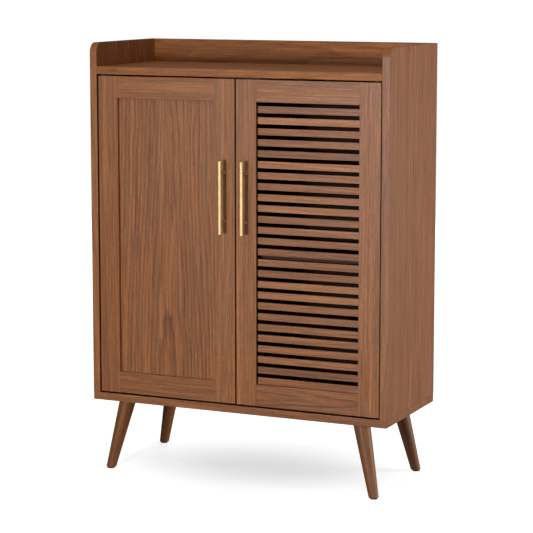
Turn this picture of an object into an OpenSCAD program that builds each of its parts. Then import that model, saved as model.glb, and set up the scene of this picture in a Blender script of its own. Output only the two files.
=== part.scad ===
// Two-door shoe cabinet on four splayed legs, with a tray top and a louvred right door.
// +X is the right side, the doors face -Y, and Z = 0 is the floor.

/* [Carcass] */
// Width over the side panels
body_w = 800; // [640:1:960]
// Depth of the carcass, front edge to back edge
body_d = 330; // [275:1:400]
// Height from the underside of the bottom panel to the tray's rim
body_h = 906; // [755:1:1090]
// Thickness of the outer boards
board_t = 19; // [16:0.5:23]
// Height of the tray's rim above the top panel
tray_h = 59; // [40:1:75]
// Radius of the side panels' front top corners
corner_r = 25; // [10:1:38]

/* [Back panel] */
// Thickness of the back panel
back_t = 5; // [3:0.5:6]
// Distance from the carcass's back edge to the back panel
back_set = 12; // [9:0.5:16]
// Depth of the groove that holds the back panel
groove_depth = 6; // [4:0.5:7]

/* [Inside] */
// Thickness of the shelves and the centre divider
inner_t = 16; // [15:0.5:19]
// Height of the fixed shelves' undersides above the cabinet floor
fixed_shelf_up = 363; // [330:1:420]
// Height of the lower adjustable shelves' undersides above the cabinet floor
lower_shelf_up = 190; // [130:1:230]
// Height of the upper adjustable shelves' undersides above the cabinet floor
upper_shelf_up = 590; // [520:1:600]
// Distance from the backs of the doors to the shelves' front edges
shelf_set = 12; // [8:1:40]
// Distance from the backs of the doors to the divider's front edge
divider_set = 4; // [3:0.5:10]
// Gap at each end of an adjustable shelf
shelf_gap = 1; // [0.5:0.25:2]
// Diameter of the shelf pins' shanks
shelf_pin_d = 5; // [4:0.5:6]
// Distance between the shelf pin holes of a row
pin_pitch = 32; // [20:1:35]

/* [Doors] */
// Thickness of the door frames
door_t = 20; // [18:0.5:24]
// Distance that the doors' faces sit behind the carcass's front edge
door_recess = 2.5; // [1:0.5:6]
// Gap between a door and its side panel
gap_side = 3.25; // [2:0.25:4]
// Gap between the two doors
gap_mid = 4; // [2:0.25:5]
// Gap above and below the doors
gap_end = 4; // [3.5:0.25:6]
// Width of the stiles
stile_w = 54; // [45:1:70]
// Height of the rails
rail_h = 54; // [48:1:70]
// Distance that the panel and the slats sit behind the frame's face
field_recess = 9; // [4:0.5:10]
// Depth that the panel and the slats reach into the frame
housing_depth = 8; // [5:0.5:10]
// Thickness of the left door's panel
panel_t = 6; // [4:0.5:7]

/* [Louvre] */
// Number of slats
slat_count = 26; // [18:1:30]
// Open gap between two slats
slat_gap = 9.9; // [6:0.1:12]
// Thickness of a slat
slat_t = 8; // [5:0.5:9]

/* [Door pivots] */
// Diameter of the pivot pins
pivot_d = 5; // [4:0.5:6]
// Distance from a door's outer edge to its pivot
pivot_in = 12; // [12:0.5:16]
// Distance from a door's face to its pivot
pivot_back = 7; // [6:0.5:7]
// Outer diameter of a pivot bush
bush_d = 9; // [8:0.5:10]
// Depth of a pivot bush in its panel
bush_depth = 10; // [8:0.5:13]

/* [Handles] */
// Diameter of the handle bar
bar_d = 10; // [8:0.5:14]
// Length of the handle bar
bar_l = 180; // [150:1:260]
// Distance between the posts' centres
post_pitch = 120; // [96:1:140]
// Diameter of the posts
post_d = 8; // [7:0.5:8]
// Distance from the door's face to the front of the bar
handle_out = 32; // [27:0.5:40]
// Height of the handle's middle above the carcass's underside
handle_up = 537; // [420:1:600]
// Diameter of the handle screws
screw_d = 4; // [3:0.5:5]

/* [Legs] */
// Height of the carcass's underside above the floor
leg_h = 180; // [120:1:230]
// Diameter of a leg at the carcass
leg_top_d = 42; // [36:1:50]
// Diameter of a leg at the floor
leg_foot_d = 24; // [20:1:34]
// Distance from the carcass's side to a leg's middle, at the top
leg_in_x = 79; // [65:1:110]
// Distance from the carcass's front or back to a leg's middle, at the top
leg_in_y = 37; // [34:1:70]
// Distance that a leg's foot stands out sideways
splay_x = 41; // [0:1:50]
// Distance that a leg's foot stands out to the front or back
splay_y = 20; // [0:1:22]
// Thickness of the foot glides
glide_t = 3; // [2:0.5:5]

/* [Fasteners] */
// Diameter of the wooden dowels
dowel_d = 8; // [6:0.5:8]
// Length of the wooden dowels
dowel_l = 30; // [25:1:32]
// Diameter of the cam locks
cam_d = 15; // [12:0.5:15]
// Distance from a joint to the middle of its cam lock
cam_up = 34; // [24:0.5:40]
// Diameter of the hanger bolts that hold the legs
leg_bolt_d = 8; // [6:1:10]

/* [Hidden] */
$fn = 64;

walnut = "#8f6549";
walnut_dark = "#6f4a33";
inner_board = "#8a6a52";
brass = "#c9a75a";
steel = "#b9bcc0";
nylon = "#4a4541";
dark_plastic = "#3a3835";
beech = "#d8b98c";

// Clearances
press_clear = 0.05;
run_clear = 0.05;
edge_clear = 0.5;
over = 1;

// Carcass faces
handle_front = handle_out - door_recess;
y_front = (handle_front - body_d) / 2;
y_back = y_front + body_d;
y_mid = (y_front + y_back) / 2;
x_in = body_w / 2 - board_t;
z_under = leg_h;
z_floor = z_under + board_t;
z_rim = z_under + body_h;
z_top = z_rim - tray_h;
z_ceil = z_top - board_t;

// Back panel and what stands in front of it
groove_clear = 0.15;
y_groove_0 = y_back - back_set - back_t - 2 * groove_clear;
y_groove_1 = y_back - back_set;
y_inner_back = y_groove_0 - edge_clear;

// Doors
y_door = y_front + door_recess;
y_door_back = y_door + door_t;
x_door_in = gap_mid / 2;
x_door_out = x_in - gap_side;
z_door_0 = z_floor + gap_end;
z_door_1 = z_ceil - gap_end;
x_open_0 = x_door_in + stile_w;
x_open_1 = x_door_out - stile_w;
z_open_0 = z_door_0 + rail_h;
z_open_1 = z_door_1 - rail_h;
y_field = y_door + field_recess;
slat_pitch = (z_open_1 - z_open_0) / slat_count;
slat_h = slat_pitch - slat_gap;

// Shelves and their pins
y_shelf = y_door_back + shelf_set;
y_divider = y_door_back + divider_set;
pin_depth = 7.5;
pin_row_in = 37;
pin_tab = [8, 8, 3];
pin_ys = [y_shelf + pin_row_in, y_inner_back - pin_row_in];
shelf_ups = [lower_shelf_up, upper_shelf_up];
pin_steps = [-2:2];

// Dowels and cam fittings, with each row's distance from the carcass's front and back edges
side_dowel_in = [50, 60];
inner_dowel_in = [90, 80];
cam_from_dowel = 32;
rail_dowel_in = 60;
side_dowel_ys = [y_front + side_dowel_in[0], y_back - side_dowel_in[1]];
inner_dowel_ys = [y_front + inner_dowel_in[0], y_back - inner_dowel_in[1]];
cam_ys = [side_dowel_ys[0] + cam_from_dowel, side_dowel_ys[1] - cam_from_dowel];
rail_dowel_x = x_in - rail_dowel_in;
rail_dowel_shift = dowel_l / 2 - board_t / 2;
door_dowel_steps = [16, 34];
cam_t = 12.5;
cam_bolt_d = 7;
cam_bolt_hold = 11;
cam_slot = 2;
cam_slot_l = cam_d * 2 / 3;

// Door pivots
x_pivot = x_door_out - pivot_in;
y_pivot = y_door + pivot_back;
flange_t = 1.5;
flange_lip = 1.5;
flange_d = bush_d + 2 * flange_lip;
pivot_hold = 20;
pivot_reach = 8;
pivot_play = 0.2;
collar_d = bush_d;
collar_t = gap_end - flange_t - pivot_play;

// Catches and strike plates
strike = [34, 1.2, 12];
catch_play = 0.3;
catch_aside = 4;
catch_size = [44, 14, 17];
catch_wall = 2;
magnet_size = [22, 12, 9];
magnet_proud = 0.2;
magnet_drop = 3;
catch_x = x_door_in + stile_w / 2 + catch_aside;
y_catch = y_door_back + strike[1] + magnet_proud + catch_play;
z_catch = z_ceil - catch_size[2] / 2 - magnet_drop;
catch_screw_d = 3.5;
catch_screw_in = 5;
catch_screw_x = catch_size[0] / 2 - catch_screw_in;
catch_screw_grip = 12;
catch_lug_t = 5;
strike_screw_d = 3;
strike_screw_l = 12;
strike_head_d = 6;

// Handles
x_handle = x_door_in + stile_w / 2;
y_bar = y_door - handle_out + bar_d / 2;
z_handle = z_under + handle_up;
bar_chamfer = 0.8;
screw_hold = 12;
screw_head_d = 2 * screw_d;
screw_head_t = 2.4;
screw_clear = 0.25;

// Legs
leg_tilt = atan(norm([splay_x, splay_y]) / leg_h);
leg_axis_l = leg_h / cos(leg_tilt);
leg_taper = (leg_top_d - leg_foot_d) / 2 / leg_axis_l;
leg_spare = 20;
leg_bolt_up = 14;
leg_bolt_down = 28;
insert_wall = 2;
insert_d = leg_bolt_d + 2 * insert_wall;
insert_l = 15;
glide_in = 3;
glide_d = leg_foot_d - 2 * glide_in;

// A box between two corners, given as a low and a high value on each axis
module slab(x, y, z) {
  translate([x[0], y[0], z[0]]) cube([x[1] - x[0], y[1] - y[0], z[1] - z[0]]);
}

// Side 1 is the right side, as drawn, and side -1 is its mirror image on the left
module on_side(side) {
  if (side < 0) mirror([1, 0, 0]) children();
  else children();
}

// ---- Places of the carcass's fasteners, each with its axis along its own Z ----

module at_carcass_dowels() {
  for (side = [-1, 1], y = side_dowel_ys) on_side(side) {
    translate([(body_w - board_t) / 2, y, z_floor]) children();
    translate([x_in, y, z_ceil + board_t / 2]) rotate([0, 90, 0]) children();
  }
  for (x = [-rail_dowel_x, 0, rail_dowel_x])
    translate([x, y_back - board_t / 2, z_top + rail_dowel_shift]) children();
  for (y = inner_dowel_ys) {
    for (x = [-x_in, 0, x_in])
      translate([x, y, z_floor + fixed_shelf_up + inner_t / 2]) rotate([0, 90, 0]) children();
    for (z = [z_floor, z_ceil]) translate([0, y, z]) children();
  }
}

// A cam joint's origin is where its two boards meet, its Z runs into the board that holds the lock,
// and its -X faces that board's inner face
module at_cams() {
  for (side = [-1, 1], y = cam_ys) on_side(side) {
    translate([(body_w - board_t) / 2, y, z_floor]) children();
    translate([x_in, y, z_ceil + board_t / 2]) rotate([0, -90, 0]) children();
  }
}

module at_legs() {
  for (side = [-1, 1], end = [-1, 1]) leg_place(side, end) children();
}

module leg_place(side, end) {
  translate([side * (body_w / 2 - leg_in_x), y_mid + end * (body_d / 2 - leg_in_y), z_under]) children();
}

// ---- Bores, drawn as solids that the boards take away ----

module carcass_dowel_bores() {
  at_carcass_dowels()
    cylinder(h = dowel_l + 2 * edge_clear, d = dowel_d + 2 * press_clear, center = true);
}

module cam_bores() {
  at_cams() {
    translate([-board_t / 2 - over, 0, cam_up]) rotate([0, 90, 0])
      cylinder(h = cam_t + edge_clear + over, d = cam_d + 2 * press_clear);
    translate([0, 0, -cam_bolt_hold - edge_clear])
      cylinder(h = cam_bolt_hold + edge_clear + cam_up, d = cam_bolt_d + 2 * press_clear);
  }
}

module shelf_pin_bores(x_0, x_1) {
  for (up = shelf_ups, step = pin_steps, y = pin_ys)
    translate([x_0, y, z_floor + up - shelf_pin_d / 2 + step * pin_pitch]) rotate([0, 90, 0])
      cylinder(h = x_1 - x_0, d = shelf_pin_d + 2 * press_clear);
}

module back_groove() {
  slab([-x_in - groove_depth, x_in + groove_depth], [y_groove_0, y_groove_1],
       [z_floor - groove_depth, z_ceil + groove_depth]);
}

module bush_bores(z, depth) {
  for (side = [-1, 1]) on_side(side)
    translate([x_pivot, y_pivot, z]) cylinder(h = depth, d = bush_d + 2 * press_clear);
}

module catch_screw_bores() {
  for (side = [-1, 1], end = [-1, 1]) on_side(side)
    translate([catch_x + end * catch_screw_x, y_catch + catch_size[1] / 2, z_ceil])
      cylinder(h = catch_screw_grip + edge_clear, d = catch_screw_d + 2 * press_clear);
}

// ---- Carcass ----

module side_panel(side) {
  color(walnut) on_side(side) difference() {
    slab([x_in, body_w / 2], [y_front, y_back], [z_floor, z_rim]);
    translate([x_in - over, y_front + corner_r, z_rim - corner_r]) rotate([0, 90, 0]) difference() {
      translate([-corner_r - over, -corner_r - over, 0])
        cube([corner_r + over, corner_r + over, board_t + 2 * over]);
      translate([0, 0, -over]) cylinder(h = board_t + 4 * over, r = corner_r);
    }
    back_groove();
    carcass_dowel_bores();
    cam_bores();
    shelf_pin_bores(x_in - over, x_in + pin_depth + edge_clear);
  }
}

module bottom_panel() {
  color(walnut) difference() {
    slab([-body_w / 2, body_w / 2], [y_front, y_back], [z_under, z_floor]);
    back_groove();
    carcass_dowel_bores();
    cam_bores();
    bush_bores(z_floor - bush_depth - edge_clear, bush_depth + edge_clear + over);
    at_legs() translate([0, 0, -over])
      cylinder(h = insert_l + edge_clear + over, d = insert_d + 2 * press_clear);
  }
}

module top_panel() {
  color(walnut) difference() {
    slab([-x_in, x_in], [y_front, y_back], [z_ceil, z_top]);
    back_groove();
    carcass_dowel_bores();
    cam_bores();
    bush_bores(z_ceil - over, bush_depth + edge_clear + over);
    catch_screw_bores();
  }
}

module tray_back_rail() {
  color(walnut) difference() {
    slab([-x_in, x_in], [y_back - board_t, y_back], [z_top, z_rim]);
    carcass_dowel_bores();
  }
}

// The back panel stands on the floor of the bottom panel's groove
module back_panel() {
  color(inner_board)
    slab([-x_in - groove_depth + edge_clear, x_in + groove_depth - edge_clear],
         [y_groove_0 + groove_clear, y_groove_1 - groove_clear],
         [z_floor - groove_depth, z_ceil + groove_depth - edge_clear]);
}

// ---- Inside ----

module centre_divider() {
  color(inner_board) difference() {
    slab([-inner_t / 2, inner_t / 2], [y_divider, y_inner_back], [z_floor, z_ceil]);
    carcass_dowel_bores();
    shelf_pin_bores(-inner_t / 2 - over, inner_t / 2 + over);
  }
}

module fixed_shelf(side) {
  color(inner_board) on_side(side) difference() {
    slab([inner_t / 2, x_in], [y_shelf, y_inner_back],
         [z_floor + fixed_shelf_up, z_floor + fixed_shelf_up + inner_t]);
    carcass_dowel_bores();
  }
}

module adjustable_shelf(side, up) {
  color(inner_board) on_side(side)
    slab([inner_t / 2 + shelf_gap, x_in - shelf_gap], [y_shelf, y_inner_back],
         [z_floor + up, z_floor + up + inner_t]);
}

// A pin is a round shank in the board and a flat tab under the shelf
module shelf_pin() {
  rotate([0, 90, 0]) cylinder(h = pin_depth, d = shelf_pin_d);
  translate([-pin_tab[0], -pin_tab[1] / 2, shelf_pin_d / 2 - pin_tab[2]]) cube(pin_tab);
}

module shelf_pins() {
  color(steel) for (side = [-1, 1], up = shelf_ups, y = pin_ys) on_side(side) {
    translate([x_in, y, z_floor + up - shelf_pin_d / 2]) shelf_pin();
    translate([inner_t / 2, y, z_floor + up - shelf_pin_d / 2]) mirror([1, 0, 0]) shelf_pin();
  }
}

// ---- Carcass fasteners ----

module carcass_dowels() {
  color(beech) at_carcass_dowels() cylinder(h = dowel_l, d = dowel_d, center = true);
}

module cam_locks() {
  color(steel) at_cams() translate([-board_t / 2, 0, cam_up]) difference() {
    rotate([0, 90, 0]) cylinder(h = cam_t, d = cam_d);
    translate([board_t / 2, 0, -cam_d])
      cylinder(h = cam_d + cam_bolt_d / 2, d = cam_bolt_d + 2 * screw_clear);
    translate([-over, -cam_slot / 2, -cam_slot_l / 2]) cube([cam_slot + over, cam_slot, cam_slot_l]);
  }
}

module cam_bolts() {
  color(steel) at_cams() translate([0, 0, -cam_bolt_hold])
    cylinder(h = cam_bolt_hold + cam_up, d = cam_bolt_d);
}

// ---- Door pivots ----

module bush() {
  difference() {
    union() {
      translate([0, 0, -bush_depth]) cylinder(h = bush_depth + flange_t, d = bush_d);
      cylinder(h = flange_t, d = flange_d);
    }
    translate([0, 0, -bush_depth - over])
      cylinder(h = bush_depth + flange_t + 2 * over, d = pivot_d + 2 * run_clear);
  }
}

module lower_bush(side) {
  color(nylon) on_side(side) translate([x_pivot, y_pivot, z_floor]) bush();
}

module upper_bush(side) {
  color(nylon) on_side(side) translate([x_pivot, y_pivot, z_ceil]) mirror([0, 0, 1]) bush();
}

// A pin runs from inside the stile, through its collar, into the bush
module pivot_pin() {
  translate([0, 0, -gap_end - pivot_reach]) cylinder(h = gap_end + pivot_reach + pivot_hold, d = pivot_d);
  translate([0, 0, -collar_t]) cylinder(h = collar_t, d = collar_d);
}

module door_pivot_pins(side) {
  color(steel) on_side(side) {
    translate([x_pivot, y_pivot, z_door_0]) pivot_pin();
    translate([x_pivot, y_pivot, z_door_1]) mirror([0, 0, 1]) pivot_pin();
  }
}

// ---- Magnetic catches ----

module catch_housing(side) {
  color(dark_plastic) on_side(side) difference() {
    union() {
      slab([catch_x - catch_size[0] / 2, catch_x + catch_size[0] / 2],
           [y_catch, y_catch + catch_size[1]], [z_ceil - catch_lug_t, z_ceil]);
      slab([catch_x - magnet_size[0] / 2 - catch_wall, catch_x + magnet_size[0] / 2 + catch_wall],
           [y_catch, y_catch + catch_size[1]], [z_ceil - catch_size[2], z_ceil]);
    }
    slab([catch_x - magnet_size[0] / 2, catch_x + magnet_size[0] / 2],
         [y_catch - over, y_catch + magnet_size[1] - magnet_proud],
         [z_catch - magnet_size[2] / 2, z_catch + magnet_size[2] / 2]);
    for (end = [-1, 1])
      translate([catch_x + end * catch_screw_x, y_catch + catch_size[1] / 2, z_ceil - catch_lug_t - over])
        cylinder(h = catch_lug_t + 2 * over, d = catch_screw_d + 2 * screw_clear);
  }
}

module catch_magnet(side) {
  color(steel) on_side(side)
    slab([catch_x - magnet_size[0] / 2, catch_x + magnet_size[0] / 2],
         [y_catch - magnet_proud, y_catch - magnet_proud + magnet_size[1]],
         [z_catch - magnet_size[2] / 2, z_catch + magnet_size[2] / 2]);
}

module catch_screws() {
  color(steel) for (side = [-1, 1], end = [-1, 1]) on_side(side)
    translate([catch_x + end * catch_screw_x, y_catch + catch_size[1] / 2, z_ceil - catch_lug_t]) {
      cylinder(h = catch_lug_t + catch_screw_grip, d = catch_screw_d);
      translate([0, 0, -screw_head_t]) cylinder(h = screw_head_t, d = 2 * catch_screw_d);
    }
}

module strike_plate(side) {
  color(steel) on_side(side) difference() {
    slab([catch_x - strike[0] / 2, catch_x + strike[0] / 2], [y_door_back, y_door_back + strike[1]],
         [z_catch - strike[2] / 2, z_catch + strike[2] / 2]);
    translate([catch_x, y_door_back - over, z_catch]) rotate([-90, 0, 0])
      cylinder(h = strike[1] + 2 * over, d = strike_head_d + 2 * screw_clear);
  }
}

module strike_screw(side) {
  color(steel) on_side(side) translate([catch_x, y_door_back, z_catch]) rotate([-90, 0, 0]) {
    translate([0, 0, -strike_screw_l]) cylinder(h = strike_screw_l, d = strike_screw_d);
    cylinder(h = strike[1], d = strike_head_d);
  }
}

// ---- Doors, drawn on the right side ----

module door_dowels(side) {
  color(beech) on_side(side) at_door_dowels() cylinder(h = dowel_l, d = dowel_d, center = true);
}

module at_door_dowels() {
  for (x = [x_open_0, x_open_1], step = door_dowel_steps, z = [z_door_0 + step, z_door_1 - step])
    translate([x, y_door + door_t / 2, z]) rotate([0, 90, 0]) children();
}

module door_dowel_bores() {
  at_door_dowels() cylinder(h = dowel_l + 2 * edge_clear, d = dowel_d + 2 * press_clear, center = true);
}

module panel_groove() {
  slab([x_open_0 - housing_depth, x_open_1 + housing_depth],
       [y_field, y_field + panel_t + groove_clear],
       [z_open_0 - housing_depth, z_open_1 + housing_depth]);
}

// Slats are counted down from the top rail, and the last one meets the bottom rail
module slat(number, reach) {
  z = z_open_1 - number * slat_pitch;
  slab([x_open_0 - reach, x_open_1 + reach], [y_field, y_field + slat_t], [z, z + slat_h]);
}

module slat_mortises() {
  for (number = [1:slat_count]) slat(number, housing_depth);
}

// What each door's frame takes away for its own field: a groove for the panel, or mortises for the slats
module field_housing(side) {
  if (side < 0) panel_groove();
  else slat_mortises();
}

module hinge_stile(side) {
  color(walnut) on_side(side) difference() {
    slab([x_open_1, x_door_out], [y_door, y_door_back], [z_door_0, z_door_1]);
    field_housing(side);
    door_dowel_bores();
    for (z = [z_door_0 - over, z_door_1 - pivot_hold - edge_clear])
      translate([x_pivot, y_pivot, z])
        cylinder(h = pivot_hold + edge_clear + over, d = pivot_d + 2 * press_clear);
  }
}

module meeting_stile(side) {
  color(walnut) on_side(side) difference() {
    slab([x_door_in, x_open_0], [y_door, y_door_back], [z_door_0, z_door_1]);
    field_housing(side);
    door_dowel_bores();
    at_posts() translate([0, 0, -door_t - over])
      cylinder(h = door_t + 2 * over, d = screw_d + 2 * screw_clear);
    translate([catch_x, y_door_back + over, z_catch]) rotate([90, 0, 0])
      cylinder(h = strike_screw_l + edge_clear + over, d = strike_screw_d + 2 * press_clear);
  }
}

module top_rail(side) {
  color(walnut) on_side(side) difference() {
    slab([x_open_0, x_open_1], [y_door, y_door_back], [z_open_1, z_door_1]);
    if (side < 0) panel_groove();
    door_dowel_bores();
  }
}

module bottom_rail(side) {
  color(walnut) on_side(side) difference() {
    slab([x_open_0, x_open_1], [y_door, y_door_back], [z_door_0, z_open_0]);
    if (side < 0) panel_groove();
    door_dowel_bores();
  }
}

// The panel stands on the floor of the bottom rail's groove, free to swell at its edges
module left_door_panel() {
  color(walnut) on_side(-1)
    slab([x_open_0 - housing_depth + edge_clear, x_open_1 + housing_depth - edge_clear],
         [y_field, y_field + panel_t], [z_open_0 - housing_depth, z_open_1 + housing_depth - edge_clear]);
}

module louvre_slats() {
  color(walnut) for (number = [1:slat_count]) slat(number, housing_depth - edge_clear);
}

// ---- Handles, drawn on the right door ----

// A post's Z runs from the door's face to the bar
module at_posts() {
  for (end = [-1, 1])
    translate([x_handle, y_door, z_handle + end * post_pitch / 2]) rotate([90, 0, 0]) children();
}

module handle_bar(side) {
  color(brass) on_side(side) translate([x_handle, y_bar, z_handle - bar_l / 2]) {
    cylinder(h = bar_chamfer, d1 = bar_d - 2 * bar_chamfer, d2 = bar_d);
    translate([0, 0, bar_chamfer]) cylinder(h = bar_l - 2 * bar_chamfer, d = bar_d);
    translate([0, 0, bar_l - bar_chamfer])
      cylinder(h = bar_chamfer, d1 = bar_d, d2 = bar_d - 2 * bar_chamfer);
  }
}

module handle_posts(side) {
  color(brass) on_side(side) difference() {
    at_posts() difference() {
      cylinder(h = y_door - y_bar, d = post_d);
      translate([0, 0, -over]) cylinder(h = screw_hold + over, d = screw_d + 2 * press_clear);
    }
    translate([x_handle, y_bar, z_handle - bar_l / 2]) cylinder(h = bar_l, d = bar_d);
  }
}

module handle_screws(side) {
  color(steel) on_side(side) at_posts() {
    translate([0, 0, -door_t]) cylinder(h = door_t + screw_hold - edge_clear, d = screw_d);
    translate([0, 0, -door_t - screw_head_t]) cylinder(h = screw_head_t, d = screw_head_d);
  }
}

// ---- Legs ----

module leg(side, end) {
  color(walnut_dark) difference() {
    intersection() {
      leg_place(side, end) rotate([0, 0, atan2(end * splay_y, side * splay_x)]) rotate([0, -leg_tilt, 0])
        translate([0, 0, -leg_axis_l - leg_spare])
          cylinder(h = leg_axis_l + 2 * leg_spare, r1 = leg_foot_d / 2 - leg_taper * leg_spare,
                   r2 = leg_top_d / 2 + leg_taper * leg_spare);
      slab([-body_w, body_w], [-body_d, body_d], [glide_t, z_under]);
    }
    leg_place(side, end) translate([0, 0, -leg_bolt_down - edge_clear])
      cylinder(h = leg_bolt_down + edge_clear + over, d = leg_bolt_d + 2 * press_clear);
  }
}

module leg_bolts() {
  color(steel) at_legs() translate([0, 0, -leg_bolt_down])
    cylinder(h = leg_bolt_down + leg_bolt_up, d = leg_bolt_d);
}

module leg_inserts() {
  color(brass) at_legs() difference() {
    cylinder(h = insert_l, d = insert_d);
    translate([0, 0, -over]) cylinder(h = insert_l + 2 * over, d = leg_bolt_d + 2 * press_clear);
  }
}

module foot_glides() {
  drop = (leg_h - glide_t) / leg_h;
  color(dark_plastic) for (side = [-1, 1], end = [-1, 1]) leg_place(side, end)
    translate([side * splay_x * drop, end * splay_y * drop, -leg_h]) cylinder(h = glide_t, d = glide_d);
}

side_panel(-1);  // left_side_panel
side_panel(1);  // right_side_panel
bottom_panel();
top_panel();
tray_back_rail();
back_panel();
centre_divider();
fixed_shelf(-1);  // left_fixed_shelf
fixed_shelf(1);  // right_fixed_shelf
adjustable_shelf(-1, lower_shelf_up);  // left_lower_shelf
adjustable_shelf(1, lower_shelf_up);  // right_lower_shelf
adjustable_shelf(-1, upper_shelf_up);  // left_upper_shelf
adjustable_shelf(1, upper_shelf_up);  // right_upper_shelf
shelf_pins();
carcass_dowels();
cam_locks();
cam_bolts();
lower_bush(-1);  // left_lower_bush
upper_bush(-1);  // left_upper_bush
lower_bush(1);  // right_lower_bush
upper_bush(1);  // right_upper_bush
catch_housing(-1);  // left_catch_housing
catch_housing(1);  // right_catch_housing
catch_magnet(-1);  // left_catch_magnet
catch_magnet(1);  // right_catch_magnet
catch_screws();
leg(-1, -1);  // front_left_leg
leg(1, -1);  // front_right_leg
leg(-1, 1);  // back_left_leg
leg(1, 1);  // back_right_leg
leg_bolts();
leg_inserts();
foot_glides();
hinge_stile(-1);  // left_door_hinge_stile
meeting_stile(-1);  // left_door_meeting_stile
top_rail(-1);  // left_door_top_rail
bottom_rail(-1);  // left_door_bottom_rail
left_door_panel();
door_dowels(-1);  // left_door_dowels
door_pivot_pins(-1);  // left_door_pivot_pins
handle_bar(-1);  // left_handle_bar
handle_posts(-1);  // left_handle_posts
handle_screws(-1);  // left_handle_screws
strike_plate(-1);  // left_strike_plate
strike_screw(-1);  // left_strike_screw
hinge_stile(1);  // right_door_hinge_stile
meeting_stile(1);  // right_door_meeting_stile
top_rail(1);  // right_door_top_rail
bottom_rail(1);  // right_door_bottom_rail
louvre_slats();
door_dowels(1);  // right_door_dowels
door_pivot_pins(1);  // right_door_pivot_pins
handle_bar(1);  // right_handle_bar
handle_posts(1);  // right_handle_posts
handle_screws(1);  // right_handle_screws
strike_plate(1);  // right_strike_plate
strike_screw(1);  // right_strike_screw
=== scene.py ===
import math
import random

import bmesh
import bpy
from mathutils import Euler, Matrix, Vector


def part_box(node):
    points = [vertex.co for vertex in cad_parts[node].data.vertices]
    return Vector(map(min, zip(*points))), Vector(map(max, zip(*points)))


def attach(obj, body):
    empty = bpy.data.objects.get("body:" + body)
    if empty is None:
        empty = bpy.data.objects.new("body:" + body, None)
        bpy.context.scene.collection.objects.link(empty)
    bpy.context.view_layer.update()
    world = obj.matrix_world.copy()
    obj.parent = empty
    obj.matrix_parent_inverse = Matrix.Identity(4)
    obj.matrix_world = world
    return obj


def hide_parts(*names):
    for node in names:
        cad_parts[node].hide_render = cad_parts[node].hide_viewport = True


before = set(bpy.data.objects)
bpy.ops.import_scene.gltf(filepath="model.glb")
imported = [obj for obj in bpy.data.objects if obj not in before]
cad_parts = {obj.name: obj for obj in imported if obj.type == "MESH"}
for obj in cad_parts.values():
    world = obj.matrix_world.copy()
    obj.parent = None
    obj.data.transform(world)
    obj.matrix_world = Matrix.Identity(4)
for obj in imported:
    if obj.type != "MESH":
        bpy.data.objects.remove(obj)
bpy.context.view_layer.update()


# ---- Legs ----
# Four turned legs of solid wood, stained a deep walnut and lacquered. Each tapers to a small round
# foot, stands splayed to its corner, and is screwed to the bottom panel by a hanger bolt.

class Wire:
    """One socket of a node tree, with the arithmetic that the finishes are written in."""

    def __init__(self, tree, socket):
        self.tree = tree
        self.socket = socket

    def maths(self, operation, first, second=0.0):
        return add_node(self.tree, "ShaderNodeMath", {"operation": operation}, {0: first, 1: second})

    def __add__(self, other):
        return self.maths("ADD", self, other)

    def __radd__(self, other):
        return self.maths("ADD", other, self)

    def __sub__(self, other):
        return self.maths("SUBTRACT", self, other)

    def __rsub__(self, other):
        return self.maths("SUBTRACT", other, self)

    def __mul__(self, other):
        return self.maths("MULTIPLY", self, other)

    def __rmul__(self, other):
        return self.maths("MULTIPLY", other, self)

    def __pow__(self, other):
        return self.maths("POWER", self, other)

    def __gt__(self, other):
        return self.maths("GREATER_THAN", self, other)

    def __lt__(self, other):
        return self.maths("LESS_THAN", self, other)

    def floor(self):
        return self.maths("FLOOR", self)

    def part(self):
        return self.maths("FRACT", self)

    def step_up(self, low, high):
        """0 below low and 1 above high, with a soft change between."""
        return add_node(self.tree, "ShaderNodeMapRange", {"interpolation_type": "SMOOTHSTEP"},
                        {"Value": self, "From Min": low, "From Max": high}, out="Result")


def feed(tree, place, value):
    """Links a wire to a socket, or writes a plain value on it."""
    if isinstance(value, Wire):
        tree.links.new(value.socket, place)
    else:
        place.default_value = value


def add_node(tree, kind, settings=None, sockets=None, out=0):
    """Adds one node, its settings first and then its sockets, and gives one of its outputs."""
    made = tree.nodes.new(kind)
    for key, value in (settings or {}).items():
        setattr(made, key, value)
    for key, value in (sockets or {}).items():
        feed(tree, made.inputs[key], value)
    return Wire(tree, made.outputs[out])


class Finish:
    """A material that is being mixed: its nodes, and the shader that they feed."""

    def __init__(self, name):
        self.material = bpy.data.materials.new(name)
        self.material.use_nodes = True
        self.tree = self.material.node_tree
        self.shader = self.tree.nodes["Principled BSDF"]

    def node(self, kind, settings=None, sockets=None, out=0):
        return add_node(self.tree, kind, settings, sockets, out)

    def mix(self, factor, first, second):
        """A colour between two colours; sockets 6 and 7 are the colour pair of a Mix node."""
        return self.node("ShaderNodeMix", {"data_type": "RGBA", "clamp_factor": True},
                         {0: factor, 6: first, 7: second}, out=2)

    def set(self, **sockets):
        for key, value in sockets.items():
            feed(self.tree, self.shader.inputs[key.replace("_", " ")], value)


def paint(red, green, blue):
    """A colour given in screen values, as the linear colour that a shader takes."""
    full, screen_gamma, solid = 255, 2.2, 1.0
    return tuple((part / full) ** screen_gamma for part in (red, green, blue)) + (solid,)


LIE = {"X": Euler((0, 0, 0)), "Z": Euler((0, math.pi / 2, 0))}
walnut_colours = (paint(73, 40, 20), paint(137, 83, 45), paint(182, 122, 75), paint(111, 78, 51))
# Near-black foil colours, painted inside the cabinet's box as shade.
painted_shade_colours = (paint(24, 15, 9), paint(46, 29, 18))


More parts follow.
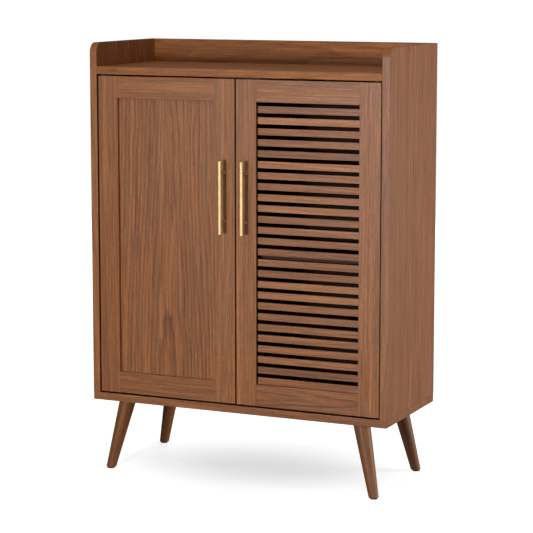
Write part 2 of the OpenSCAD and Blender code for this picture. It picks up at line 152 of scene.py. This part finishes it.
def timber(name, grain, heart, tone=0.0, warm=0.0, cone=0.05, ring=0.009, wander=1.0, seed=0.0,
           colours=walnut_colours, gloss=0.44, shine=0.25, rings=0.14, painted_shade_box=None):
    """Wood cut from a log whose middle runs through the point heart, with its grain along grain.

    The year rings are cones round the log's middle, so a board's face shows arches where it lies
    square to them and stripes where it doesn't. Whatever lies inside the given box is painted a
    near-black foil colour as shade, for the dark inside of the cabinet and the gap walls round the
    doors. Lengths are in metres."""
    mean = 0.5
    sway_reach, ripple_reach = 0.030, 0.009
    band_part, year_part, streak_part, fibre_part, thread_part = 0.50, 0.16, 0.75, 1.05, 0.65
    grey_part, pore_part = 0.35, 0.40
    fibre_height, thread_height, pore_depth = 0.5, 0.4, 0.8
    pore_rough, fibre_rough = 0.10, 0.06
    wood = Finish(name)
    turn = grain if isinstance(grain, Euler) else LIE[grain]
    shift = -(turn.to_matrix() @ Vector(heart))
    place = wood.node("ShaderNodeTexCoord", out="Object")
    log = wood.node("ShaderNodeMapping", {"vector_type": "POINT"},
                    {"Vector": place, "Rotation": turn, "Location": shift})
    parts = wood.node("ShaderNodeSeparateXYZ", {}, {"Vector": log})
    along, side, deep = (Wire(wood.tree, parts.socket.node.outputs[i]) for i in range(3))

    def cloud(scale, salt, rough=0.5, detail=2.0):
        """Noise with a size of its own along and across the grain, between 0 and 1."""
        length, width = scale
        spot = wood.node("ShaderNodeCombineXYZ", {}, {"X": along * (1 / length),
                                                      "Y": side * (1 / width),
                                                      "Z": deep * (1 / width)})
        return wood.node("ShaderNodeTexNoise", {"noise_dimensions": "4D"},
                         {"Vector": spot, "W": seed + salt, "Scale": 1.0, "Detail": detail,
                          "Roughness": rough})

    sway = cloud((0.60, 0.07), 1.0) - mean
    ripple = cloud((0.16, 0.022), 2.0, rough=0.6) - mean
    square_root = 0.5
    off_heart = (side * side + deep * deep) ** square_root
    age = (off_heart + along * cone + sway * (sway_reach * wander)
           + ripple * (ripple_reach * wander)) * (1 / ring)
    year = age.part()
    late = year.step_up(0.45, 0.94) - year.step_up(0.94, 1.0)
    each_year = wood.node("ShaderNodeTexWhiteNoise", {"noise_dimensions": "1D"},
                          {"W": age.floor() + seed})
    band = cloud((0.60, 0.020), 3.0)
    streak = cloud((0.30, 0.0042), 8.0, rough=0.6)
    fibre = cloud((0.070, 0.0022), 4.0, rough=0.6)
    thread = cloud((0.010, 0.0014), 5.0, rough=0.6)
    pore = cloud((0.009, 0.0010), 6.0, detail=1.0).step_up(0.60, 0.72)

    shade = (tone + mean + (band - mean) * band_part + (each_year - mean) * year_part - late * rings
             + (streak - mean) * streak_part + (fibre - mean) * fibre_part
             + (thread - mean) * thread_part)
    dark, middle, light, grey = colours
    brown = wood.mix(shade.step_up(-0.25, 0.65), dark, middle)
    brown = wood.mix(shade.step_up(0.38, 1.25), brown, light)
    hue = cloud((0.5, 0.016), 7.0).step_up(0.35, 0.75)
    brown = wood.mix(hue * (grey_part - warm), brown, grey)
    brown = wood.mix(pore * pore_part, brown, dark)
    # Painted shade: inside the given box the wood turns a near-black foil colour, where the cabinet's
    # inside and the gap walls would lie in shade.
    if painted_shade_box:
        box_low, box_high = painted_shade_box
        axes = wood.node("ShaderNodeSeparateXYZ", {}, {"Vector": place}).socket.node.outputs
        inside = 1.0
        for axis in range(3):
            spot = Wire(wood.tree, axes[axis])
            inside = (spot > box_low[axis]) * (spot < box_high[axis]) * inside
        brown = wood.mix(inside, brown, wood.mix(fibre, *painted_shade_colours))
    grain_height = fibre * fibre_height + thread * thread_height - pore * pore_depth
    bump = wood.node("ShaderNodeBump", {},
                     {"Strength": 0.35, "Distance": 0.00025, "Height": grain_height})
    roughness = gloss + pore_rough * pore + fibre_rough * (mean - fibre)
    wood.set(Base_Color=brown, Roughness=roughness, Normal=bump, Specular_IOR_Level=shine)
    return wood.material


def pick(piece, test):
    """Leaves only the edges selected whose two ends both pass the test, ready for an operator."""
    bpy.context.view_layer.objects.active = piece
    bpy.ops.object.mode_set(mode="EDIT")
    bpy.ops.mesh.select_mode(type="EDGE")
    bpy.ops.mesh.select_all(action="DESELECT")
    mesh = bmesh.from_edit_mesh(piece.data)
    for edge in mesh.edges:
        if test(edge):
            edge.select = True
    mesh.select_flush(True)
    bmesh.update_edit_mesh(piece.data)


def settle(piece, body, material):
    """The last steps for any piece: its place goes into its mesh, flat faces stay flat beside the
    round ones, and it gets its finish and its body."""
    smooth_angle = 40
    if bpy.context.object and bpy.context.object.mode == "EDIT":
        bpy.ops.object.mode_set(mode="OBJECT")
    bpy.ops.object.select_all(action="DESELECT")
    piece.select_set(True)
    bpy.context.view_layer.objects.active = piece
    bpy.ops.object.transform_apply(location=True, rotation=True, scale=True)
    bpy.ops.object.shade_smooth_by_angle(angle=math.radians(smooth_angle))
    bpy.ops.object.modifier_add(type="WEIGHTED_NORMAL")
    flatten = piece.modifiers[-1]
    flatten.keep_sharp = True
    bpy.ops.object.modifier_apply(modifier=flatten.name)
    piece.data.materials.clear()
    piece.data.materials.append(material)
    piece.select_set(False)
    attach(piece, body)


bpy.ops.object.select_all(action="DESELECT")
leg_top_d = 0.042
leg_foot_d = 0.024
leg_facets = 72
foot_ease = 0.0018
top_ease = 0.0006
spare = 0.03
touching = 1e-5
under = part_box("bottom_panel")[0].z
leg_colours = (paint(64, 34, 14), paint(122, 73, 34), paint(160, 106, 55), paint(102, 69, 39))
for end in ("front", "back"):
    for side in ("left", "right"):
        node = f"{end}_{side}_leg"
        low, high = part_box(node)
        outward_x = 1 if side == "right" else -1
        outward_y = 1 if end == "back" else -1
        foot = Vector((0, 0, 0))
        top = Vector((0, 0, under))
        top.x = (low.x if side == "right" else high.x) + outward_x * leg_top_d / 2
        top.y = (low.y if end == "back" else high.y) + outward_y * leg_top_d / 2
        foot.x = (high.x if side == "right" else low.x) - outward_x * leg_foot_d / 2
        foot.y = (high.y if end == "back" else low.y) - outward_y * leg_foot_d / 2
        lean = top - foot
        foot_r = leg_foot_d / 2
        top_r = leg_top_d / 2
        taper = (top_r - foot_r) / lean.length
        bpy.ops.mesh.primitive_cone_add(vertices=leg_facets, radius1=foot_r - taper * spare,
                                        radius2=top_r + taper * spare,
                                        depth=lean.length + 2 * spare, location=(top + foot) / 2,
                                        rotation=lean.to_track_quat("Z", "Y").to_euler())
        leg = bpy.context.object
        leg.name = f"turned_{node}"
        bpy.ops.object.transform_apply(location=True, rotation=True, scale=True)
        bpy.ops.object.mode_set(mode="EDIT")
        for height, keeps_above in ((low.z, True), (high.z, False)):
            bpy.ops.mesh.select_all(action="SELECT")
            bpy.ops.mesh.bisect(plane_co=(0, 0, height), plane_no=(0, 0, 1), use_fill=True,
                                clear_inner=keeps_above, clear_outer=not keeps_above)
        pick(leg, lambda edge: all(abs(v.co.z - low.z) < touching for v in edge.verts))
        bpy.ops.mesh.bevel(offset=foot_ease, segments=4, profile=0.5, affect="EDGES")
        pick(leg, lambda edge: all(abs(v.co.z - high.z) < touching for v in edge.verts))
        bpy.ops.mesh.bevel(offset=top_ease, segments=2, profile=0.5, affect="EDGES")
        along = lean.to_track_quat("X", "Z").inverted().to_euler()
        heart = top + Vector((0.03, 0.05, 0))
        wood = timber(f"leg_wood_{node}", along, heart, tone=-0.05, cone=0.01,
                      ring=0.005, seed=len(node) + top.x, colours=leg_colours, gloss=0.50, shine=0.25)
        settle(leg, "carcass", wood)
        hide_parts(node)


# ---- Carcass boards ----
# Two sides, a bottom, a top and the tray's back rail, all 19 mm board with walnut veneer outside;
# inside they are painted a near-black foil colour as shade, which also darkens the walls of the gaps
# round the doors. The sides stand on the bottom; dowels and cam locks hold every corner.

def eased_board(node, name, body, material, ease=0.0008, also=None):
    """The CAD board, holes and grooves and all, with its outer edges sanded round.

    The sanding never adds wood, so every vertex stays inside the board's own box."""
    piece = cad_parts[node].copy()
    piece.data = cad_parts[node].data.copy()
    for key in list(piece.keys()):
        del piece[key]
    piece.parent = None
    piece.name = name
    bpy.context.scene.collection.objects.link(piece)
    bpy.ops.object.select_all(action="DESELECT")
    piece.select_set(True)
    bpy.context.view_layer.objects.active = piece
    bpy.ops.mesh.customdata_custom_splitnormals_clear()
    bpy.ops.object.mode_set(mode="EDIT")
    bpy.ops.mesh.select_all(action="SELECT")
    weld, level = 1e-6, math.radians(0.5)
    bpy.ops.mesh.remove_doubles(threshold=weld)
    bpy.ops.mesh.dissolve_limited(angle_limit=level)
    low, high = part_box(node)

    def outer(edge):
        shared = 0
        for axis in range(3):
            for face in (low, high):
                if all(abs(v.co[axis] - face[axis]) < touching for v in edge.verts):
                    shared += 1
        return shared == 2 or (also is not None and also(edge))

    pick(piece, outer)
    bpy.ops.mesh.bevel(offset=ease, segments=2, profile=0.5, affect="EDGES", clamp_overlap=True)
    bpy.ops.object.mode_set(mode="OBJECT")
    for v in piece.data.vertices:
        v.co = [min(max(place, start), stop) for place, start, stop in zip(v.co, low, high)]
    settle(piece, body, material)
    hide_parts(node)
    return piece


skin = 0.0003
edge_band = 0.003
past_back = 1.0
# The box inside the carcass whose surfaces are painted dark as shade; the front edges keep a band of
# walnut.
inside_low = Vector((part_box("left_side_panel")[1].x - skin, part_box("top_panel")[0].y + edge_band,
                     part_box("bottom_panel")[1].z - skin))
inside_high = Vector((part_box("right_side_panel")[0].x + skin, past_back,
                      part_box("top_panel")[0].z + skin))
inside = (inside_low, inside_high)
tray_corner_r = 0.025
corner_slack = 2e-4
for side, facing in (("left", -1), ("right", 1)):
    node = f"{side}_side_panel"
    low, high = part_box(node)
    wood = timber(f"walnut_{node}", "Z", (facing * 0.50, 0.06, 0.35), cone=0.03, seed=10 + facing,
                  tone=0.02, painted_shade_box=inside)
    middle = Vector((0, low.y + tray_corner_r, high.z - tray_corner_r))

    def on_corner(edge):
        """The rims of the rounded corner at the front of the tray."""
        if abs(edge.verts[0].co.x - edge.verts[1].co.x) > touching:
            return False
        for v in edge.verts:
            arm = Vector((0, v.co.y, v.co.z)) - middle
            off_arc = abs(arm.length - tray_corner_r) > corner_slack
            if off_arc or arm.y > touching or arm.z < -touching:
                return False
        return True

    eased_board(node, f"veneered_{node}", "carcass", wood, also=on_corner)

flat = timber("walnut_bottom_panel", "X", (0.1, 0.0, 0.13), seed=21, tone=-0.02, painted_shade_box=inside)
eased_board("bottom_panel", "veneered_bottom_panel", "carcass", flat, ease=0.0020)
flat = timber("walnut_top_panel", "X", (-0.2, 0.05, 1.10), seed=22, tone=0.08, gloss=0.55, shine=0.15,
              painted_shade_box=inside)
eased_board("top_panel", "veneered_top_panel", "carcass", flat)
flat = timber("walnut_tray_rail", "X", (0.1, 0.26, 1.05), seed=23, tone=-0.04, gloss=0.55, shine=0.1)
eased_board("tray_back_rail", "veneered_tray_back_rail", "carcass", flat)


# ---- Inside boards ----
# The back panel, the centre divider and the six shelves are plainer board with a matt walnut foil,
# its colour darkened as painted shade, darkest on the back and the divider.
# The back slides in a groove and is bare fibreboard behind, the middle shelves are dowelled, and the
# others lie loose on pins.

rear_skin = 0.001
squarely = 0.9
# Foil colours darkened as painted shade for the cabinet's inside; the darker set also paints shade on
# the louvre stiles' inner edges.
foil_and_shade_colours = (paint(34, 21, 13), paint(56, 36, 23), paint(78, 52, 34), paint(50, 35, 25))
dark_foil_and_shade_colours = (paint(20, 12, 7), paint(35, 21, 13), paint(48, 30, 18), paint(31, 21, 14))
inside_boards = ("back_panel", "centre_divider", "left_fixed_shelf", "right_fixed_shelf",
                 "left_lower_shelf", "right_lower_shelf", "left_upper_shelf", "right_upper_shelf")
for number, node in enumerate(inside_boards):
    low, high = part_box(node)
    upright = node in ("back_panel", "centre_divider")
    middle = (low + high) / 2
    heart = middle + (Vector((0.05, 0.08, 0)) if upright else Vector((0, 0.03, 0.09)))
    shaded_foil = timber(f"foil_{node}", "Z" if upright else "X", heart, seed=30 + number,
                  colours=dark_foil_and_shade_colours if upright else foil_and_shade_colours, gloss=0.6, shine=0.12)
    board = eased_board(node, f"foiled_{node}", "carcass", shaded_foil, ease=0.0004)
    if node == "back_panel":
        bare = Finish("bare_fibreboard")
        place = bare.node("ShaderNodeTexCoord", out="Object")
        speckle = bare.node("ShaderNodeTexNoise", {"noise_dimensions": "3D"},
                            {"Vector": place, "Scale": 700.0, "Detail": 4.0, "Roughness": 0.7})
        patch = bare.node("ShaderNodeTexNoise", {"noise_dimensions": "3D"},
                          {"Vector": place, "Scale": 6.0, "Detail": 3.0})
        tan = bare.mix(speckle.step_up(0.3, 0.7), paint(92, 62, 40), paint(128, 90, 60))
        patch_part = 0.35
        tan = bare.mix(patch.step_up(0.3, 0.8) * patch_part, tan, paint(80, 54, 36))
        press = bare.node("ShaderNodeBump", {},
                          {"Strength": 0.3, "Distance": 0.0002, "Height": speckle})
        matt, speckle_rough = 0.70, 0.15
        bare.set(Base_Color=tan, Roughness=matt + speckle_rough * speckle, Normal=press)
        board.data.materials.append(bare.material)
        for face in board.data.polygons:
            faces_back = face.normal.y > squarely
            if faces_back and face.center.y > high.y - rear_skin:
                face.material_index = 1


# ---- Doors ----
# Two framed doors. The stiles run the full height and the rails are dowelled between them; the left
# frame is grooved for a veneered panel, and the right one is mortised for the louvre's slats. The
# stiles' edges behind the slats are painted dark as shade.

door_woods = {
    "left_door_hinge_stile": ("Z", (-0.56, -0.05, 0.5), 0.012),
    "left_door_meeting_stile": ("Z", (0.14, -0.04, 0.4), 0.012),
    "left_door_top_rail": ("X", (0.0, -0.05, 1.16), 0.012),
    "left_door_bottom_rail": ("X", (-0.1, -0.05, 0.10), 0.012),
    "left_door_panel": ("Z", (-0.185, -0.105, 0.5), 0.03),
    "right_door_hinge_stile": ("Z", (0.55, -0.02, 0.6), 0.012),
    "right_door_meeting_stile": ("Z", (-0.16, -0.05, 0.5), 0.012),
    "right_door_top_rail": ("X", (0.25, -0.04, 0.85), 0.02),
    "right_door_bottom_rail": ("X", (0.1, -0.125, 0.235), 0.035),
}
# Painted shade: the stile faces beside the slats get a near-black colour, where they would lie in
# shade.
shade_face_skin = 0.002
louvre_shade = timber("painted_shade_edge", "Z", (0.2, 0.1, 0.5), seed=56, colours=dark_foil_and_shade_colours, gloss=0.6,
               shine=0.1)
for number, (node, (grain, heart, cone)) in enumerate(door_woods.items()):
    arched = node in ("left_door_panel", "right_door_bottom_rail")
    wood = timber(f"walnut_{node}", grain, heart, cone=cone, seed=40 + 1.7 * number,
                  rings=0.30 if arched else 0.10, wander=1.3 if arched else 1.0)
    body = "left_door" if node.startswith("left") else "right_door"
    board = eased_board(node, f"veneered_{node}", body, wood, ease=0.0006)
    if node in ("right_door_hinge_stile", "right_door_meeting_stile"):
        low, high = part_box(node)
        slats_low, slats_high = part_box("louvre_slats")
        opening_x = high.x if high.x < (slats_low.x + slats_high.x) / 2 else low.x
        board.data.materials.append(louvre_shade)
        for face in board.data.polygons:
            faces_slats = abs(face.normal.x) > squarely
            if faces_slats and abs(face.center.x - opening_x) < shade_face_skin:
                face.material_index = 1


# ---- Louvre ----
# The slats are thin strips of the same walnut, glued into mortises in the right door's stiles with
# an open gap between them. They are cut from four boards, so they differ a little in tone.

slat_count = 26
slat_ease = 0.0006
low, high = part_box("louvre_slats")
opening_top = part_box("right_door_top_rail")[0].z
opening_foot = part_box("right_door_bottom_rail")[1].z
slat_pitch = (opening_top - opening_foot) / slat_count
slat_h = high.z - (opening_top - slat_pitch)
slat_tones = ((0.22, 0.3), (0.06, 0.1), (-0.03, 0.0), (-0.13, -0.1))
slat_boards = [timber(f"walnut_slat_board_{n}", "X", (0.1 + 0.2 * n, -0.05, 0.6), tone=tone,
                      seed=60 + n, cone=0.03, warm=warm)
               for n, (tone, warm) in enumerate(slat_tones)]
pale_slats = (2, 6)
grey_slats = (1, 3, 5)
draw_seed = 7
deal = random.Random(draw_seed)
centre = ((low.x + high.x) / 2, (low.y + high.y) / 2, slat_h / 2)
slat_size = (high.x - low.x, high.y - low.y, slat_h)
bpy.ops.mesh.primitive_cube_add(size=1, location=centre, scale=slat_size)
strip = bpy.context.object
bpy.ops.object.transform_apply(location=True, rotation=True, scale=True)
pick(strip, lambda edge: abs(edge.verts[0].co.x - edge.verts[1].co.x) > touching)
bpy.ops.mesh.bevel(offset=slat_ease, segments=2, profile=0.5, affect="EDGES")
bpy.ops.object.mode_set(mode="OBJECT")
for number in range(1, slat_count + 1):
    slat = strip.copy()
    slat.data = strip.data.copy()
    slat.name = f"slat_{number:02d}"
    slat.location.z = opening_top - number * slat_pitch
    bpy.context.scene.collection.objects.link(slat)
    if number in pale_slats:
        board = 0
    elif number in grey_slats:
        board = 3
    else:
        board = deal.choice((1, 1, 2, 2, 3))
    settle(slat, "right_door", slat_boards[board])
    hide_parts("louvre_slats")
bpy.data.objects.remove(strip)


# ---- Handles ----
# A bar handle on each meeting stile: a brushed brass rod on two short posts, each held from behind by
# a machine screw through the stile. The rod's ends are turned with a small round edge.

brass = Finish("brushed_brass")
place = brass.node("ShaderNodeTexCoord", out="Object")
stretch = brass.node("ShaderNodeMapping", {"vector_type": "POINT"},
                     {"Vector": place, "Scale": (1500, 1500, 40)})
brush = brass.node("ShaderNodeTexNoise", {"noise_dimensions": "3D"},
                   {"Vector": stretch, "Scale": 1.0, "Detail": 2.0})
wear = brass.node("ShaderNodeTexNoise", {"noise_dimensions": "3D"},
                  {"Vector": place, "Scale": 45.0, "Detail": 3.0})
colour = brass.mix(wear.step_up(0.35, 0.7), paint(196, 168, 116), paint(203, 177, 127))
bump = brass.node("ShaderNodeBump", {}, {"Strength": 0.02, "Distance": 0.00002, "Height": brush})
satin, brush_rough, mean = 0.62, 0.05, 0.5
brass.set(Base_Color=colour, Roughness=satin + brush_rough * (brush - mean), Normal=bump,
          Metallic=1.0, Coat_Weight=0.25, Coat_Roughness=0.35)

bar_end_ease = 0.0012
bar_facets = 48
for side in ("left", "right"):
    node = f"{side}_handle_bar"
    low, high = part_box(node)
    middle = (low + high) / 2
    bar_r = min(high.x - low.x, high.y - low.y) / 2
    bpy.ops.mesh.primitive_cylinder_add(vertices=bar_facets, radius=bar_r, depth=high.z - low.z,
                                        location=middle)
    bar = bpy.context.object
    bar.name = f"brass_{node}"
    bpy.ops.object.transform_apply(location=True, rotation=True, scale=True)
    pick(bar, lambda edge: abs(edge.verts[0].co.z - edge.verts[1].co.z) < touching)
    bpy.ops.mesh.bevel(offset=bar_end_ease, segments=4, profile=0.5, affect="EDGES")
    settle(bar, f"{side}_door", brass.material)
    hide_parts(node)
    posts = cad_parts[f"{side}_handle_posts"]
    posts.data.materials.clear()
    posts.data.materials.append(brass.material)


# ---- Fittings ----
# Small bought fittings: zinc cam locks, steel screws, bolts, pins and strikes, blackened pivot pins
# and magnets, brass leg inserts, beech dowels, and dark plastic bushes, catch housings and foot
# glides. Their shapes are the CAD's; each gets its own finish.

def plated(name, colour, rough):
    metal = Finish(name)
    place = metal.node("ShaderNodeTexCoord", out="Object")
    cloudy = metal.node("ShaderNodeTexNoise", {"noise_dimensions": "3D"},
                        {"Vector": place, "Scale": 180.0, "Detail": 4.0})
    dull, solid = 0.8, 1.0
    tint = metal.mix(cloudy, colour, tuple(dull * part for part in colour[:3]) + (solid,))
    cloud_rough = 0.15
    metal.set(Base_Color=tint, Roughness=rough + cloud_rough * cloudy, Metallic=1.0)
    return metal.material


def moulded(name, colour):
    plastic = Finish(name)
    place = plastic.node("ShaderNodeTexCoord", out="Object")
    grain = plastic.node("ShaderNodeTexNoise", {"noise_dimensions": "3D"},
                         {"Vector": place, "Scale": 2500.0, "Detail": 2.0})
    paler, solid = 1.5, 1.0
    tint = plastic.mix(grain, colour, tuple(paler * part for part in colour[:3]) + (solid,))
    bump = plastic.node("ShaderNodeBump", {},
                        {"Strength": 0.3, "Distance": 0.0001, "Height": grain})
    matt, grain_rough = 0.55, 0.1
    plastic.set(Base_Color=tint, Roughness=matt + grain_rough * grain, Normal=bump,
                Specular_IOR_Level=0.25)
    return plastic.material


steel = plated("zinc_plated_steel", paint(188, 190, 194), 0.28)
black = plated("blackened_steel", paint(32, 29, 27), 0.60)
zinc = plated("die_cast_zinc", paint(170, 171, 174), 0.42)
dark = moulded("moulded_dark_plastic", paint(24, 22, 21))
beech_colours = (paint(176, 134, 92), paint(205, 166, 120), paint(224, 190, 148),
                 paint(200, 168, 128))
beech = timber("beech_dowel", "Z", (0.0, 0.0, 0.0), ring=0.002, seed=80, gloss=0.6,
               colours=beech_colours)
fittings = {
    steel: ("cam_bolts", "catch_screws", "leg_bolts", "shelf_pins", "left_handle_screws",
            "right_handle_screws", "left_strike_plate", "right_strike_plate", "left_strike_screw",
            "right_strike_screw"),
    black: ("left_door_pivot_pins", "right_door_pivot_pins", "left_catch_magnet",
            "right_catch_magnet"),
    zinc: ("cam_locks",),
    brass.material: ("leg_inserts",),
    dark: ("foot_glides", "left_catch_housing", "right_catch_housing", "left_lower_bush",
           "left_upper_bush", "right_lower_bush", "right_upper_bush"),
    beech: ("carcass_dowels", "left_door_dowels", "right_door_dowels"),
}
for material, nodes in fittings.items():
    for node in nodes:
        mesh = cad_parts[node].data
        mesh.materials.clear()
        mesh.materials.append(material)


# ---- Studio ----
# A plain pale floor that glows a little less under the cabinet as a painted soft shadow, even pale
# air, seven soft lights of which two act only in reflections, and the camera.

white = (1.0, 1.0, 1.0, 1.0)
floor_paint = Finish("studio_floor")
spot = floor_paint.node("ShaderNodeTexCoord", out="Object")
reach = floor_paint.node("ShaderNodeVectorMath", {"operation": "LENGTH"}, {0: spot}, out="Value")
# Painted shadow: the floor's emission dips in a soft patch under the cabinet.
painted_shadow_glow, ring_glow, far_glow = 0.48, 0.82, 0.92
glow_with_painted_shadow = (painted_shadow_glow + (ring_glow - painted_shadow_glow) * reach.step_up(0.05, 0.55)
        + (far_glow - ring_glow) * reach.step_up(0.6, 3.0))
floor_paint.set(Base_Color=(0.80, 0.80, 0.80, 1.0), Roughness=0.7, Emission_Color=glow_with_painted_shadow,
                Emission_Strength=1.0)
floor_size = 240
bpy.ops.mesh.primitive_plane_add(size=floor_size, location=(0, 0, 0))
floor = bpy.context.object
floor.name = "studio_floor"
floor.data.materials.append(floor_paint.material)
floor.visible_diffuse = False
floor.visible_glossy = False

world = bpy.data.worlds.new("studio_air")
bpy.context.scene.world = world
world.use_nodes = True
air = world.node_tree
fill, sheen = 0.10, 0.18
camera_ray = add_node(air, "ShaderNodeLightPath", out="Is Camera Ray")
glossy_ray = Wire(air, camera_ray.socket.node.outputs["Is Glossy Ray"])
lit = add_node(air, "ShaderNodeBackground", {},
               {"Color": white, "Strength": fill + sheen * glossy_ray})
behind = add_node(air, "ShaderNodeBackground", {}, {"Color": white, "Strength": 1.0})
either = add_node(air, "ShaderNodeMixShader", {}, {0: camera_ray, 1: lit, 2: behind})
feed(air, air.nodes["World Output"].inputs["Surface"], either)


def softbox(name, place, aim, width, height, watts, diffuse=True, glossy=True):
    light = bpy.data.lights.new(name, "AREA")
    light.shape = "RECTANGLE"
    light.size = width
    light.size_y = height
    light.energy = watts
    lamp = bpy.data.objects.new(name, light)
    lamp.location = place
    lamp.rotation_euler = (Vector(aim) - Vector(place)).to_track_quat("-Z", "Y").to_euler()
    lamp.visible_camera = False
    lamp.visible_diffuse = diffuse
    lamp.visible_glossy = glossy
    bpy.context.scene.collection.objects.link(lamp)


softbox("front_softbox", (0.0, -5.0, 0.66), (0, 0, 0.6), 0.6, 0.6, 174)
softbox("corner_softbox", (0.8, -1.3, 1.9), (0.3, 0, 0.95), 0.7, 0.7, 8, glossy=False)
softbox("left_softbox", (-1.0, -5.0, 1.4), (0, 0, 0.9), 1.0, 1.0, 110, diffuse=False)
softbox("side_softbox", (3.6, -3.6, 0.8), (0, 0, 0.7), 1.6, 1.6, 80, diffuse=False)
softbox("right_softbox", (3.8, 1.6, 0.60), (0.4, 0, 0.60), 1.8, 1.0, 140)
softbox("top_softbox", (0, -0.5, 4.5), (0, -0.1, 0), 2.4, 2.4, 36, glossy=False)
softbox("back_softbox", (-1.5, 4.5, 1.6), (0, 0, 0.6), 2.0, 2.0, 60, glossy=False)

lens = bpy.data.cameras.new("camera")
lens.sensor_width = 36
lens.lens = 132.0
lens.shift_y = -0.05
lens.clip_end = 300
camera = bpy.data.objects.new("camera", lens)
camera.location = (2.024, -4.418, 1.268)
level, tilt, pan = 90, 7.90, 24.44
camera.rotation_euler = (math.radians(level - tilt), 0, math.radians(pan))
bpy.context.scene.collection.objects.link(camera)
bpy.context.scene.camera = camera
bpy.context.scene.view_settings.view_transform = "Standard"
